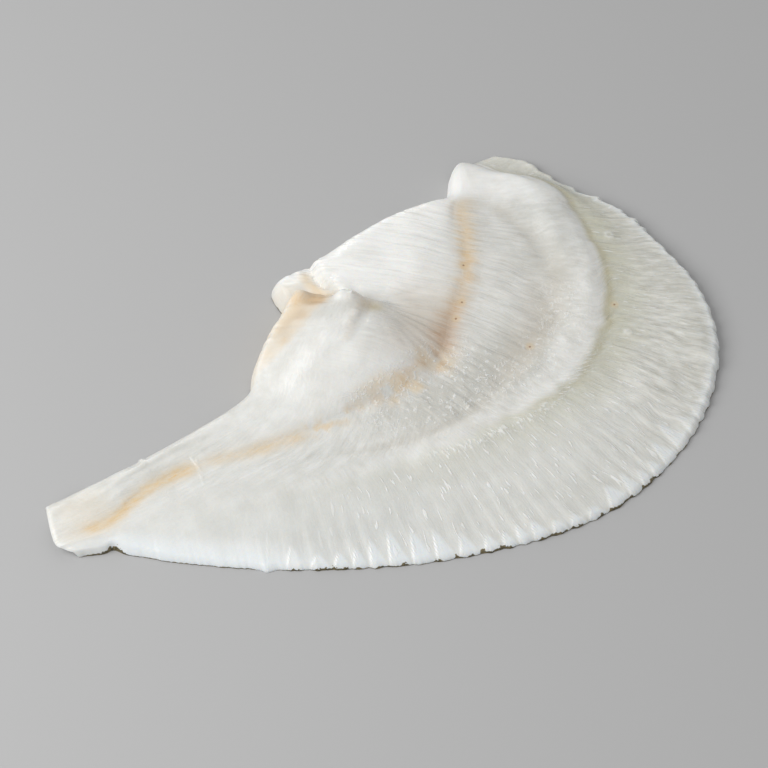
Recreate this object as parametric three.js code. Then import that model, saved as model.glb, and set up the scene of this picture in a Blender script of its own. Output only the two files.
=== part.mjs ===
// A raw turbot fillet that lies skin side down, cut in one piece from tail to head.
//
// Millimetres, +Z up. +X runs from the tail to the head, +Y to the cut back edge and -Y to the
// round fringe of fin muscle. The origin is the middle of the underside of the fillet's box.
//
// The flesh is drawn on ribs, lines that cross the fillet from the back edge to the fringe. A rib is
// named by its share of the fringe's length, from 0 at the tail to 100 at the head. A place on a rib
// is its station: 0 at the back edge, 1 at the seam, 2 at the crease and 3 at the fringe's edge.

import * as THREE from "three";

const HEAD_RIB = 100;

// Stations of the four guide lines.
const BACK = 0;
const SEAM = 1;
const CREASE = 2;
const EDGE = 3;

// Guide lines in plan, each point as [rib, x, y].
const BACK_LINE = [
  [0, -125, 65.5], [10, -92.5, 57], [22, -55.5, 50], [29, -43.5, 48.5], [44, -31.5, 55.5], [58, -12, 64],
  [63.5, -6.2, 65.9], [65.3, -4, 66.5], [68, 0, 79.6], [70.7, 8.5, 80.1], [74, 20, 76], [79, 36.5, 74],
  [85, 53, 71.5], [91, 71.5, 65.3], [96.5, 80.5, 65.4], [100, 88.5, 72],
];
const SEAM_LINE = [
  [0, -133, 51], [3, -117.5, 45], [10, -94, 43.5], [16, -75.5, 38], [22, -57, 28.3], [36, -20.5, 14.5],
  [51, 14.5, 6.8], [58, 27, 11.5], [66, 38.5, 19.5], [74, 54, 29], [85, 69.5, 45], [91, 77, 54],
  [96.5, 88, 59.5], [100, 97.2, 74.8],
];
const CREASE_LINE = [
  [0, -132, 45.5], [3, -119, 38.5], [10, -97, 27], [22, -58, 5], [36, -16.5, -15.5], [51, 25.5, -28.5],
  [58, 45, -32], [66, 66.5, -28.5], [74, 85, -16.5], [85, 103, 8], [91, 109, 24.5], [97, 108.6, 47],
  [98.5, 103.2, 57.5], [100, 101.6, 70.3],
];
const EDGE_LINE = [
  [0, -129.5, 41.5], [3, -121, 35], [9.5, -105, 14], [22, -72, -22], [36, -27, -57], [51, 27.5, -79.5],
  [65.5, 84, -71.5], [72.6, 107, -55.5], [79, 120, -34], [85, 124.6, -10.8], [91, 126.6, 12.5],
  [97, 119.4, 45.8], [98.5, 119, 56.5], [100, 112.3, 69],
];

// Height of the flesh along lines of one station, each point as [rib, height]. The loin swells into a
// lump from rib 30 to rib 65, and drops there to the block of lower flesh behind it.
const HEIGHT_LINES = [
  { station: BACK, heights: [[0, 5], [24, 9], [36, 13], [50, 17.2], [58, 17.6], [65.2, 18], [67, 11],
    [72, 11], [78, 12.6], [88, 12], [94, 9], [97, 8], [100, 6.5]] },
  { station: 0.2, heights: [[0, 5.5], [24, 10.5], [36, 15.5], [50, 21.6], [58, 21.8], [62, 20.8],
    [65.2, 19.4], [67, 13.5], [74, 14.6], [88, 14.2], [94, 10.5], [97, 10], [100, 8]] },
  { station: 0.4, heights: [[0, 6], [10, 8.5], [24, 11], [34, 15.6], [40, 19.5], [50, 24.2], [58, 23.8],
    [64.6, 21.6], [66.4, 15], [88, 15.2], [94, 11.8], [97, 11.4], [100, 9.5]] },
  { station: 0.54, heights: [[0, 6], [24, 11], [34, 15.2], [40, 19.3], [50, 24], [55, 23.4], [60, 21],
    [64.7, 18.8], [66, 15.2], [88, 15], [94, 12], [97, 10.6], [100, 8.4]] },
  { station: 0.64, heights: [[0, 6], [24, 11], [34, 14.8], [40, 18.6], [47, 22.6], [52, 22.8], [58, 20.2],
    [63.5, 17], [65.6, 15.6], [67.5, 15], [88, 14.8], [94, 12.2], [97, 10.9], [100, 8.5]] },
  { station: 0.82, heights: [[0, 5.5], [24, 10.2], [34, 13.4], [40, 16.6], [47, 19], [52, 18.2], [57, 16],
    [62, 14.2], [68, 13.5], [88, 14], [94, 12.5], [97, 11.2], [100, 8.5]] },
  { station: 0.93, heights: [[0, 5.2], [24, 9.6], [34, 11.6], [40, 13.4], [47, 14.6], [52, 14], [58, 12.6],
    [62, 11.8], [75, 13], [92, 12.7], [97, 11.3], [100, 8.5]] },
  { station: SEAM, heights: [[0, 5], [24, 9], [36, 10.4], [46, 11.6], [54, 11.3], [64, 10.7], [75, 12.5],
    [92, 12.5], [97, 11.4], [100, 8.5]] },
  { station: 1.1, heights: [[0, 5], [24, 9], [36, 9.8], [50, 10.2], [64, 10.3], [75, 11.8], [92, 12.2],
    [97, 11.4], [100, 8.5]] },
  { station: 1.3, heights: [[0, 5], [24, 9], [50, 9.4], [75, 10.6], [88, 10.8], [97, 11.4], [100, 8.5]] },
  { station: 1.54, heights: [[0, 5], [24, 8.8], [50, 9], [75, 9], [85, 9.5], [92, 11.4], [97, 11.6],
    [100, 8.5]] },
  { station: 1.72, heights: [[0, 4.8], [24, 8.9], [50, 9.3], [66, 10], [75, 11], [90, 12.8], [97, 11.8],
    [100, 8.2]] },
  { station: 1.86, heights: [[0, 4.6], [24, 8.8], [50, 9.7], [66, 11], [75, 11.9], [90, 12.3], [97, 10.6],
    [100, 7.6]] },
  { station: 1.96, heights: [[0, 4.5], [24, 8.7], [50, 10.1], [66, 10.7], [75, 10.6], [90, 10.6], [97, 10],
    [100, 7.5]] },
  { station: 2.06, heights: [[0, 4.4], [24, 8.4], [50, 9.9], [58, 9.6], [66, 9.1], [75, 8.9], [97, 8.6],
    [100, 6.4]] },
  { station: 2.2, heights: [[0, 4.3], [24, 7.8], [50, 8.7], [66, 8.2], [97, 7.8], [100, 5.8]] },
  { station: 2.5, heights: [[0, 4], [10, 4.6], [24, 6.2], [50, 7], [75, 7.2], [100, 5]] },
  { station: 2.8, heights: [[0, 3.7], [5, 3], [24, 3.6], [58, 4.2], [75, 6.2], [100, 4]] },
  { station: EDGE, heights: [[0, 3.5], [5, 1.8], [24, 1.8], [56, 2], [75, 5], [95, 4.8], [100, 3.5]] },
];

// Bumps and dips of the lump: lip, knuckle, notch beside the knuckle, furrow between the lump's two
// lobes, and dome.
const LUMP_BUMPS = [
  { rib: 64.8, station: 0.08, halfRibs: 2.6, halfStations: 0.06, height: 3.1 },
  { rib: 64.2, station: 0.365, halfRibs: 3, halfStations: 0.06, height: 4.6 },
  { rib: 62.6, station: 0.5, halfRibs: 2.2, halfStations: 0.045, height: -0.4 },
  { rib: 57, station: 0.5, halfRibs: 4.5, halfStations: 0.03, height: -0.9 },
  { rib: 49, station: 0.68, halfRibs: 6, halfStations: 0.13, height: 0.8 },
];

// Tongue between the lump and the end wall of the block behind it: its height as [station, height],
// its height at its two ends as a share, and the wall's place as [station, rib].
const TONGUE_START = [65.4, 66.6];
const TONGUE_HEIGHT = [[BACK, 8.5], [0.15, 10.5], [0.3, 11], [0.46, 11]];
const TONGUE_END_SHARE = 0.7;
const BLOCK_WALL = [[BACK, 74.2], [0.32, 67.6], [0.4, 66], [0.46, 64.5]];
const WALL_HALF_RIBS = 1.2;

// Rounding of the rims and of the two ends. The back rim's width is [rib, width]. A rim tucks in under
// its widest line by the tuck angle.
const BACK_RIM = [[0, 4.5], [88, 4.5], [95, 10], [HEAD_RIB, 10]];
const EDGE_RIM = 2.4;
const RIM_TUCK = THREE.MathUtils.degToRad(6);
const MOST_ROUNDED_BACK = 0.75;
const MOST_ROUNDED_EDGE = 0.45;
const HEAD_ROUND_RIBS = 3.2;
const HEAD_END_SHARE = 0.25;
const TAIL_ROUND_RIBS = 0.5;
const TAIL_END_SHARE = 0.78;

// Fin-ray ridges of the fringe, and the nick that parts the fringe from the tail.
const RIDGES = 52;
const RIDGE_HEIGHT = 0.35;
const SCALLOP_DEPTH = 0.7;
const FRINGE_START = [15, 22];
const FRINGE_END = [94, HEAD_RIB];
const NICK_RIB = 3.6;
const NICK_HALF_WIDTH = 0.6;
const NICK_DEPTH = 1.6;

// Groove along the seam as [rib, depth].
const GROOVE = [[0, 0], [46, 0], [58, 0.5], [80, 0.4], [90, 0], [HEAD_RIB, 0]];
const GROOVE_HALF_WIDTH = 1.8;

// Faceting: ribs, and points across a rib's rims, its three spans and its underside.
const RIBS = 3 * RIDGES;
const RIM_POINTS = 5;
const LOIN_POINTS = 12;
const MIDDLE_POINTS = 8;
const FRINGE_POINTS = 6;
const UNDERSIDE_POINTS = 2;

const FLESH_COLOUR = 0xe4e2dc;

const clamp = (value, low, high) => Math.min(high, Math.max(low, value));
const bell = (distance, halfWidth) => Math.exp(-((distance / halfWidth) ** 2));
const smoothStep = (low, high, value) => {
  const share = clamp((value - low) / (high - low), 0, 1);
  return share * share * (3 - 2 * share);
};

// Quarter of a circle that rises from 0 to 1.
const rounding = (share) => Math.sqrt(1 - (1 - clamp(share, 0, 1)) ** 2);

// Slope at point i of a list of [position, value] pairs. A level list keeps peaks and dips where
// its points have them.
function slopeAt(keys, column, i, level) {
  const slope = (k) => (keys[k + 1][column] - keys[k][column]) / (keys[k + 1][0] - keys[k][0]);
  if (i === 0) return slope(0);
  if (i === keys.length - 1) return slope(i - 1);
  const before = slope(i - 1);
  const after = slope(i);
  if (!level) {
    const gapBefore = keys[i][0] - keys[i - 1][0];
    const gapAfter = keys[i + 1][0] - keys[i][0];
    return (before * gapAfter + after * gapBefore) / (gapBefore + gapAfter);
  }
  return before * after <= 0 ? 0 : (2 * before * after) / (before + after);
}

// Smooth curve through keys of the form [position, value, value, ...], as a list of its values.
function along(keys, position, level = false) {
  const last = keys.length - 2;
  const found = keys.findIndex((key) => key[0] > position);
  const i = found < 0 ? last : clamp(found - 1, 0, last);
  const gap = keys[i + 1][0] - keys[i][0];
  const t = clamp((position - keys[i][0]) / gap, 0, 1);
  return keys[i].slice(1).map((_, c) => {
    const column = c + 1;
    const rise = gap * slopeAt(keys, column, i, level);
    const leave = gap * slopeAt(keys, column, i + 1, level);
    const start = (1 + 2 * t) * (1 - t) ** 2 * keys[i][column] + t * (1 - t) ** 2 * rise;
    const end = t * t * (3 - 2 * t) * keys[i + 1][column] + t * t * (t - 1) * leave;
    return start + end;
  });
}

// The one value of a list of [position, value] pairs, without humps between its points.
const levelValue = (keys, position) => along(keys, position, true)[0];

const ridgePhase = (rib) => (2 * Math.PI * RIDGES * rib) / HEAD_RIB;

// The ridges fade in past the nick and out at the head.
const fringeShare = (rib) => smoothStep(...FRINGE_START, rib) * (1 - smoothStep(...FRINGE_END, rib));

const lengthBetween = (from, to) => Math.hypot(to[0] - from[0], to[1] - from[1]);

// The guide points of one rib, with the fringe's scallops and the nick in the edge.
function guidePoints(rib) {
  const points = [BACK_LINE, SEAM_LINE, CREASE_LINE, EDGE_LINE].map((line) => along(line, rib));
  const [, , crease, edge] = points;
  const scallop = SCALLOP_DEPTH * fringeShare(rib) * Math.cos(ridgePhase(rib));
  const outward = scallop - NICK_DEPTH * bell(rib - NICK_RIB, NICK_HALF_WIDTH);
  const share = outward / lengthBetween(crease, edge);
  points[EDGE] = edge.map((value, axis) => value + share * (value - crease[axis]));
  return points;
}

// Place in plan of a station on a rib with these guide points.
function planPoint(points, station) {
  const keys = points.map((point, index) => [index, ...point]);
  return along(keys, station);
}

// Height with the tongue cut in between the lump and the block.
function withTongue(whole, rib, station) {
  const wall = levelValue(BLOCK_WALL, station);
  const end = TONGUE_START[1];
  const middle = clamp((2 * (rib - end)) / Math.max(wall - end, 1) - 1, -1, 1);
  const tongue = levelValue(TONGUE_HEIGHT, station) * (1 - (1 - TONGUE_END_SHARE) * middle ** 2);
  const before = 1 - smoothStep(wall - WALL_HALF_RIBS, wall + WALL_HALF_RIBS, rib);
  const cut = smoothStep(...TONGUE_START, rib) * before;
  return whole + (Math.min(tongue, whole) - whole) * cut;
}

function bumpAt(bump, rib, station) {
  return bump.height * bell(rib - bump.rib, bump.halfRibs) * bell(station - bump.station, bump.halfStations);
}

// Height of the flesh over its flat underside, away from the rims. A groove runs along the seam, on
// spans of these lengths.
function heightAt(rib, station, spans) {
  const keys = HEIGHT_LINES.map((line) => [line.station, levelValue(line.heights, rib)]);
  const smooth = withTongue(levelValue(keys, station), rib, station);
  const bumps = LUMP_BUMPS.reduce((total, bump) => total + bumpAt(bump, rib, station), 0);
  const fromSeam = (station - SEAM) * (station < SEAM ? spans[BACK] : spans[SEAM]);
  const groove = levelValue(GROOVE, rib) * bell(fromSeam, GROOVE_HALF_WIDTH);
  const ridgeShare = fringeShare(rib) * smoothStep(CREASE, EDGE, station);
  const ridge = RIDGE_HEIGHT * ridgeShare * Math.cos(ridgePhase(rib));
  const head = HEAD_END_SHARE + (1 - HEAD_END_SHARE) * rounding((HEAD_RIB - rib) / HEAD_ROUND_RIBS);
  const tail = TAIL_END_SHARE + (1 - TAIL_END_SHARE) * rounding(rib / TAIL_ROUND_RIBS);
  return (smooth + bumps + ridge - groove) * head * tail;
}

const shares = (count) => Array.from({ length: count }, (_, i) => i / count);

// Evenly spread stations from low up to, and without, high.
const spread = (low, high, count) => shares(count).map((share) => low + (high - low) * share);

// Points of a rounded rim from its foot: the inset from the outline and the rise, both as shares.
const RIM = spread(-RIM_TUCK, Math.PI / 2, RIM_POINTS).map((angle) => ({
  inset: 1 - Math.cos(angle),
  rise: (Math.sin(angle) + Math.sin(RIM_TUCK)) / (1 + Math.sin(RIM_TUCK)),
}));

// One closed section: over the flesh from back to fringe, then back along the flat underside.
function section(rib) {
  const points = guidePoints(rib);
  const spans = [BACK, SEAM, CREASE].map((from) => lengthBetween(points[from], points[from + 1]));
  const backRound = Math.min(MOST_ROUNDED_BACK, levelValue(BACK_RIM, rib) / spans[BACK]);
  const edgeRound = Math.min(MOST_ROUNDED_EDGE, EDGE_RIM / spans[CREASE]);
  const inner = [
    ...spread(backRound, SEAM, LOIN_POINTS),
    ...spread(SEAM, CREASE, MIDDLE_POINTS),
    ...spread(CREASE, EDGE - edgeRound, FRINGE_POINTS),
    EDGE - edgeRound,
  ];
  const top = [
    ...RIM.map(({ inset, rise }) => ({ station: inset * backRound, rise })),
    ...inner.map((station) => ({ station, rise: 1 })),
    ...RIM.map(({ inset, rise }) => ({ station: EDGE - inset * edgeRound, rise })).reverse(),
  ];
  const under = spread(EDGE, BACK, UNDERSIDE_POINTS).slice(1);
  return [
    ...top.map(({ station, rise }) => [...planPoint(points, station), rise * heightAt(rib, station, spans)]),
    ...under.map((station) => [...planPoint(points, station), 0]),
  ];
}

// Middle of a section's outline, where the triangles that close an end of the fillet meet.
function middleOf(sectionPoints) {
  const sum = [0, 1, 2].map((axis) => sectionPoints.reduce((total, point) => total + point[axis], 0));
  return sum.map((total) => total / sectionPoints.length);
}

function filletGeometry() {
  const sections = Array.from({ length: RIBS + 1 }, (_, i) => section((HEAD_RIB * i) / RIBS));
  const size = sections[0].length;
  const head = RIBS * size;
  const tailMiddle = head + size;
  const headMiddle = tailMiddle + 1;
  const triangles = [];
  for (let j = 0; j < size; j += 1) {
    const next = (j + 1) % size;
    for (let i = 0; i < RIBS; i += 1) {
      const a = i * size + j;
      const b = i * size + next;
      triangles.push(a, b, a + size, b, b + size, a + size);
    }
    triangles.push(tailMiddle, next, j);
    triangles.push(headMiddle, head + j, head + next);
  }
  const corners = [...sections.flat(), middleOf(sections[0]), middleOf(sections[RIBS])];
  const geometry = new THREE.BufferGeometry();
  geometry.setAttribute("position", new THREE.Float32BufferAttribute(corners.flat(), 3));
  geometry.setIndex(triangles);
  geometry.computeVertexNormals();
  return geometry;
}

function fillet() {
  const flesh = new THREE.MeshStandardMaterial({ color: FLESH_COLOUR, roughness: 0.35, metalness: 0 });
  const mesh = new THREE.Mesh(filletGeometry(), flesh);
  mesh.name = "fillet";
  mesh.geometry.computeBoundingBox();
  const middle = mesh.geometry.boundingBox.getCenter(new THREE.Vector3());
  mesh.position.set(-middle.x, -middle.y, 0);
  return mesh;
}

const part = new THREE.Group();
part.add(fillet());

export default part;
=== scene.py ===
# A raw turbot fillet that lies skin side down on a pale floor.
#
# The flesh is drawn on ribs, lines that cross the fillet from the back edge to the fringe. A rib is
# named by its share of the fringe's length, from 0 at the tail to 100 at the head. A place on a rib
# is its station: 0 at the back edge, 1 at the seam, 2 at the crease and 3 at the fringe's edge.
# A zone is a stretch of the flesh with soft borders: (low rib, high rib, low station, high station,
# half ribs of softness, half stations of softness).
# Sizes of the flesh are in millimetres. The finished mesh, the camera and the lights are in metres.

import math

import bpy
import numpy as np
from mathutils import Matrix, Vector


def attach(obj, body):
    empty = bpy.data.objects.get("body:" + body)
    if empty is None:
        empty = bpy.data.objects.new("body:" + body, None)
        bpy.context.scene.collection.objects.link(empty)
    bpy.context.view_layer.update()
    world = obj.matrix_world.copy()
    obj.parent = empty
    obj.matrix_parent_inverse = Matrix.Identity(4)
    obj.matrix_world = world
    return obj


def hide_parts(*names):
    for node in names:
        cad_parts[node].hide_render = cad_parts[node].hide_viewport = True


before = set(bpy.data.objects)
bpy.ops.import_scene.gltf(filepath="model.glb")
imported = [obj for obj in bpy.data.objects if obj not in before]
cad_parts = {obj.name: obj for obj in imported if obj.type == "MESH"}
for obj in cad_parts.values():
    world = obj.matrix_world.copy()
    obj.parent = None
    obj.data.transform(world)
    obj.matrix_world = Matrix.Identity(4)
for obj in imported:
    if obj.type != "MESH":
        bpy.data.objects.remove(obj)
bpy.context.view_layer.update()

MM = 0.001
HEAD_RIB = 100

# Stations of the four guide lines.
BACK = 0
SEAM = 1
CREASE = 2
EDGE = 3

# Middle of the drawn outline's box, which is the frame's origin.
MIDDLE = (-3.0353, -0.0629)

# Guide lines in plan, each point as (rib, x, y).
BACK_LINE = [
    (0, -125, 65.5), (10, -92.5, 57), (22, -55.5, 50), (29, -43.5, 48.5), (44, -31.5, 55.5), (58, -12, 64),
    (63.5, -6.2, 65.9), (65.3, -4, 66.5), (68, 0, 79.5), (70.7, 8.5, 80), (74, 20, 76), (79, 36.5, 74),
    (85, 53, 71.5), (91, 71.5, 65.3), (96.5, 80.5, 65.4), (100, 88.5, 72),
]
SEAM_LINE = [
    (0, -132.98, 51), (3, -117.5, 45), (10, -94, 43.5), (16, -75.5, 38), (22, -57, 28.3), (36, -20.5, 14.5),
    (51, 14.5, 6.8), (58, 27, 11.5), (66, 38.5, 19.5), (74, 54, 29), (85, 69.5, 45), (91, 77, 54),
    (96.5, 88, 59.5), (100, 97.2, 74.8),
]
CREASE_LINE = [
    (0, -132, 45.5), (3, -119, 38.5), (10, -97, 27), (22, -58, 5), (36, -16.5, -15.5), (51, 25.5, -28.5),
    (58, 45, -32), (66, 66.5, -28.5), (74, 85, -16.5), (85, 103, 8), (91, 109, 24.5), (97, 108.6, 47),
    (98.5, 103.2, 57.5), (100, 101.6, 70.3),
]
EDGE_LINE = [
    (0, -129.5, 41.5), (3, -121, 35), (9.5, -105, 14), (22, -72, -22), (36, -27, -57), (51, 27.5, -79.5),
    (65.5, 84, -71.5), (72.6, 107, -55.5), (79, 120, -34), (85, 124.6, -10.8), (91, 126.6, 12.5),
    (97, 119.4, 45.8), (98.5, 119, 56.5), (100, 112.3, 69),
]

# Height of the flesh along lines of one station, each as its station and points of (rib, height).
HEIGHT_LINES = [
    (BACK, [(0, 5), (24, 9), (36, 13), (50, 17.2), (58, 17.6), (65.2, 18), (67, 11), (72, 11), (78, 12.6),
            (88, 12), (94, 9), (97, 8), (100, 6.5)]),
    (0.2, [(0, 5.5), (24, 10.5), (36, 15.5), (50, 21.6), (58, 21.8), (62, 20.8), (65.2, 19.4), (67, 13.5),
           (74, 14.6), (88, 14.2), (94, 10.5), (97, 10), (100, 8)]),
    (0.4, [(0, 6), (10, 8.5), (24, 11), (34, 15.6), (40, 19.5), (50, 24.2), (58, 23.8), (64.6, 21.6),
           (66.4, 15), (88, 15.2), (94, 11.8), (97, 11.4), (100, 9.5)]),
    (0.54, [(0, 6), (24, 11), (34, 15.2), (40, 19.3), (50, 24), (55, 23.4), (60, 21), (64.7, 18.8),
            (66, 15.2), (88, 15), (94, 12), (97, 10.6), (100, 8.4)]),
    (0.64, [(0, 6), (24, 11), (34, 14.8), (40, 18.6), (47, 22.6), (52, 22.8), (58, 20.2), (63.5, 17),
            (65.6, 15.6), (67.5, 15), (88, 14.8), (94, 12.2), (97, 10.9), (100, 8.5)]),
    (0.82, [(0, 5.5), (24, 10.2), (34, 13.4), (40, 16.6), (47, 19), (52, 18.2), (57, 16), (62, 14.2),
            (68, 13.5), (88, 14), (94, 12.5), (97, 11.2), (100, 8.5)]),
    (0.93, [(0, 5.2), (24, 9.6), (34, 11.6), (40, 13.4), (47, 14.6), (52, 14), (58, 12.6), (62, 11.8),
            (75, 13), (92, 12.7), (97, 11.3), (100, 8.5)]),
    (SEAM, [(0, 5), (24, 9), (36, 10.4), (46, 11.6), (54, 11.3), (64, 10.7), (75, 12.5), (92, 12.5),
            (97, 11.4), (100, 8.5)]),
    (1.1, [(0, 5), (24, 9), (36, 9.8), (50, 10.2), (64, 10.3), (75, 11.8), (92, 12.2), (97, 11.4),
           (100, 8.5)]),
    (1.3, [(0, 5), (24, 9), (50, 9.4), (75, 10.6), (88, 10.8), (97, 11.4), (100, 8.5)]),
    (1.54, [(0, 5), (24, 8.8), (50, 9), (75, 9), (85, 9.5), (92, 11.4), (97, 11.6), (100, 8.5)]),
    (1.72, [(0, 4.8), (24, 8.9), (50, 9.3), (66, 10), (75, 11), (90, 12.8), (97, 11.8), (100, 8.2)]),
    (1.86, [(0, 4.6), (24, 8.8), (50, 9.7), (66, 11), (75, 11.9), (90, 12.3), (97, 10.6), (100, 7.6)]),
    (1.96, [(0, 4.5), (24, 8.7), (50, 10.1), (66, 10.7), (75, 10.6), (90, 10.6), (97, 10), (100, 7.5)]),
    (2.06, [(0, 4.4), (24, 8.4), (50, 9.9), (58, 9.6), (66, 9.1), (75, 8.9), (97, 8.6), (100, 6.4)]),
    (2.2, [(0, 4.3), (24, 7.8), (50, 8.7), (66, 8.2), (97, 7.8), (100, 5.8)]),
    (2.5, [(0, 4), (10, 4.6), (24, 6.2), (50, 7), (75, 7.2), (100, 5)]),
    (2.8, [(0, 3.7), (5, 3), (24, 3.6), (58, 4.2), (75, 6.2), (100, 4)]),
    (EDGE, [(0, 3.5), (5, 1.8), (24, 1.8), (56, 2), (75, 5), (95, 4.8), (100, 3.5)]),
]

# Bumps and dips of the lump as (height, rib, station, half ribs, half stations).
LUMP_BUMPS = [
    (3.1, 64.8, 0.08, 2.6, 0.06),  # lip
    (4.4, 64.2, 0.335, 3, 0.034),  # knuckle's outer half
    (3.4, 64.2, 0.395, 3, 0.034),  # knuckle's inner half
    (-0.4, 62.6, 0.5, 2.2, 0.045),  # notch beside the knuckle
    (-0.9, 57, 0.5, 4.5, 0.03),  # furrow between the lump's two lobes
    (0.8, 49, 0.68, 6, 0.13),  # dome
]

# Tongue between the lump and the end wall of the block behind it: its height and the wall's rib by station.
TONGUE_START = (65.4, 66.6)
TONGUE_HEIGHT = [(BACK, 8.5), (0.15, 10.5), (0.3, 11), (0.46, 11)]
TONGUE_END_SHARE = 0.7
LEAST_TONGUE_RIBS = 1
BLOCK_WALL = [(BACK, 74.2), (0.32, 67.6), (0.4, 66), (0.46, 64.5)]
WALL_HALF_RIBS = 0.5

# Rounding of the rims and of the two ends. A rim tucks in under its widest line by this angle.
BACK_RIM = [(0, 4.5), (88, 4.5), (95, 10), (100, 10)]
EDGE_RIM = 2.4
RIM_TUCK = math.radians(6)
MOST_ROUNDED_BACK = 0.75
MOST_ROUNDED_EDGE = 0.45
HEAD_ROUND_RIBS = 3.2
HEAD_END_SHARE = 0.25
TAIL_ROUND_RIBS = 0.5
TAIL_END_SHARE = 0.78

# Random draws along each side of a noise.
NOISE_SIZE = 512

# Levels between which random patches fade in.
PATCH_LEVELS = (0.3, 0.7)

# Fin-ray ridges of the fringe, and the nick that parts the fringe from the tail.
RIDGES = 52
RIDGE_HEIGHT = 0.35
RIDGE_STRENGTH = [(0, 0.5), (48, 0.5), (60, 0.9), (70, 0.6), (100, 0.5)]
RIDGE_FLANK = 0.3
RIDGE_WANDER = 0.9
SCALLOP_DEPTH = 0.25
NICK_RIB = 3.6
NICK_HALF_WIDTH = 0.6
NICK_DEPTH = 1.6

# Small tags of flesh on the outline, each as (rib, reach, half ribs).
BACK_TAGS = [(11.5, 0.9, 0.25), (72.4, 1.1, 0.22)]
EDGE_TAGS = [
    (17.5, 1.3, 0.5), (88, 0.7, 0.16), (89.4, 1, 0.2), (93.3, 1.2, 0.2), (96.8, 1.2, 0.18),
    (97.6, -1.2, 0.35),
]

# Raggedness of the fringe's edge, which grows towards the head, and the lip's frill.
RAGGED_EDGE = 0.35
RAGGED_GROWTH = 2.2
RAGGED_GROWTH_RIBS = (84, 90)
LIP_FRILL = 0.9

# Wandering of the crease's line, and how far it carries the height with it.
CREASE_WANDER = 2.4
CREASE_HALF_STATIONS = 0.2

# Groove along the seam as (rib, depth).
GROOVE = [(0, 0), (46, 0), (58, 0.5), (80, 0.4), (90, 0)]
GROOVE_HALF_WIDTH = 1.8

# Rows and columns of the mesh, and the least angle of a sharp edge.
RIB_ROWS = 700
RIM_POINTS = 10
LOIN_POINTS = 34
MIDDLE_POINTS = 34
FRINGE_POINTS = 38
UNDERSIDE_POINTS = 7
SHARP_ANGLE = math.radians(62)


def ease(low, high, value):
    """Smooth step from 0 at low to 1 at high."""
    share = np.clip((value - low) / (high - low), 0, 1)
    return share * share * (3 - 2 * share)


def stretch(start, end, ribs):
    """1 between two stretches of ribs, over which it rises and falls."""
    return ease(*start, ribs) * (1 - ease(*end, ribs))


def bell(distance, half_width):
    return np.exp(-((distance / half_width) ** 2))


def noise(x, y, seed):
    """Smooth random values from 0 to 1 over the plane, with one draw for each whole step of x and y."""
    draws = np.random.default_rng(seed).random((NOISE_SIZE, NOISE_SIZE))
    column = np.floor(x).astype(int)
    row = np.floor(y).astype(int)
    right = ease(0, 1, x - column)
    up = ease(0, 1, y - row)

    def draw(columns_on, rows_on):
        return draws[(column + columns_on) % NOISE_SIZE, (row + rows_on) % NOISE_SIZE]

    low = draw(0, 0) * (1 - right) + draw(1, 0) * right
    high = draw(0, 1) * (1 - right) + draw(1, 1) * right
    return low * (1 - up) + high * up


def rib_noise(ribs, rate, seed):
    """Random values along the ribs, with as many draws for each rib as the rate says."""
    return noise(ribs * rate, 0 * ribs, seed)


def plan_noise(flesh, size, shift, seed):
    """Random values over the plan in lumps of a size, shifted by so many lumps."""
    return noise(flesh.x / size + shift, flesh.y / size + shift, seed)


def curve(at, values, position, level=False):
    """Smooth curves through columns of values at the places at, column c read at row c of position.

    A level curve keeps peaks and dips where its points have them.
    """
    at = np.asarray(at, float)
    values = np.asarray(values, float)
    gaps = np.diff(at)[:, None]
    steps = np.diff(values, axis=0) / gaps
    before = steps[:-1]
    after = steps[1:]
    if level:
        same_way = before * after > 0
        inner = np.where(same_way, 2 * before * after / np.where(same_way, before + after, 1), 0)
    else:
        inner = (before * gaps[1:] + after * gaps[:-1]) / (gaps[:-1] + gaps[1:])
    slopes = np.concatenate([steps[:1], inner, steps[-1:]])
    i = np.clip(np.searchsorted(at, position, side="right") - 1, 0, len(at) - 2)
    column = np.arange(values.shape[1])[:, None]
    gap = at[i + 1] - at[i]
    t = np.clip((position - at[i]) / gap, 0, 1)
    start = (1 + 2 * t) * (1 - t) ** 2 * values[i, column] + t * (1 - t) ** 2 * gap * slopes[i, column]
    end = t * t * (3 - 2 * t) * values[i + 1, column] + t * t * (t - 1) * gap * slopes[i + 1, column]
    return start + end


def read_line(points, ribs, level=False):
    """Values along a line of (rib, value, ...) points, one row for each value."""
    table = np.array(points, float)
    wanted = np.broadcast_to(ribs, (table.shape[1] - 1, len(ribs)))
    return curve(table[:, 0], table[:, 1:], wanted, level)


def by_station(points, stations):
    """Values along straight stretches between points of (station, value)."""
    at, values = zip(*points)
    return np.interp(stations, at, values)


def ridge_turns(ribs):
    """Fin-ray ridges passed from the tail on, unevenly spaced."""
    return RIDGES * ribs / HEAD_RIB + RIDGE_WANDER * (rib_noise(ribs, 0.21, 11) - 0.5)


def ridge_profile(ribs):
    """Height of the fin-ray ridges from 0 to 1: steep towards the tail, gentle towards the head."""
    share = ridge_turns(ribs) % 1
    return ease(0, RIDGE_FLANK, share) * (1 - ease(RIDGE_FLANK, 1, share))


def fringe_share(ribs):
    return stretch((15, 22), (94, HEAD_RIB), ribs)


def tag_reach(tags, ribs):
    return sum(reach * bell(ribs - rib, half_ribs) for rib, reach, half_ribs in tags)


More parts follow.
